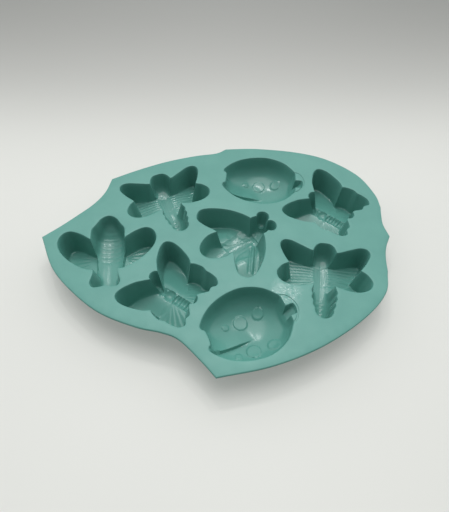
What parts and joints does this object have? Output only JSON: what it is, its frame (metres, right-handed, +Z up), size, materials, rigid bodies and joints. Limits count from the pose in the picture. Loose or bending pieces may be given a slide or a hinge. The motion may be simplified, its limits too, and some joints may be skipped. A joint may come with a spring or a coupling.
{
  "type": "silicone soap mould",
  "caption": "Leaf-shaped silicone soap mould: a flat sheet with insect-shaped cups hanging under it, for casting small soaps.",
  "frame": {"origin": "centre of the leaf sheet's outline, on the table plane the cups stand on", "axes": "+Z up through the cups' mouths, +X along the leaf towards its broad rounded end, +Y towards the edge above the back ladybird"},
  "size_m": [0.2874, 0.2256, 0.026],
  "materials": {
    "silicone": "satin"
  },
  "bodies": {
    "root": {"leaf_sheet": "silicone", "bee_cup": "silicone", "dragonfly_cup_left": "silicone", "dragonfly_cup_right": "silicone", "butterfly_cup_front": "silicone", "butterfly_cup_back": "silicone", "moth_cup": "silicone", "ladybird_cup_back": "silicone", "ladybird_cup_front": "silicone"}
  },
  "joints": []
}
